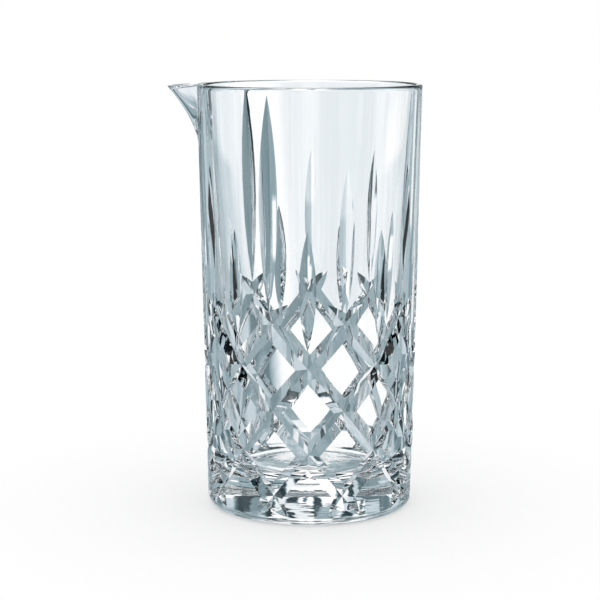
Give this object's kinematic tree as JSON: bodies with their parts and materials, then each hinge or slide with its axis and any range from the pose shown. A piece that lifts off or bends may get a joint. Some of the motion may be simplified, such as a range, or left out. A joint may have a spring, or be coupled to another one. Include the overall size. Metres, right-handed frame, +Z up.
{
  "type": "cocktail mixing glass",
  "caption": "Tall clear pressed-glass stirring glass with a heavy base, a wall cut with a diamond lattice under upright lancet blades, and a pouring lip drawn out of the rim.",
  "frame": {"origin": "middle of the flat underside, on the axis of the round body", "axes": "+Z up along the body's axis, -X towards the pouring lip, +Y completes the right-handed frame"},
  "size_m": [0.1015, 0.0896, 0.17],
  "materials": {
    "pressed_glass": "clear, fire polished, with a faint cool tint in the thick base"
  },
  "bodies": {
    "root": {"heavy_base": "pressed_glass", "cut_wall": "pressed_glass", "upper_wall": "pressed_glass", "pouring_lip": "pressed_glass"}
  },
  "joints": []
}
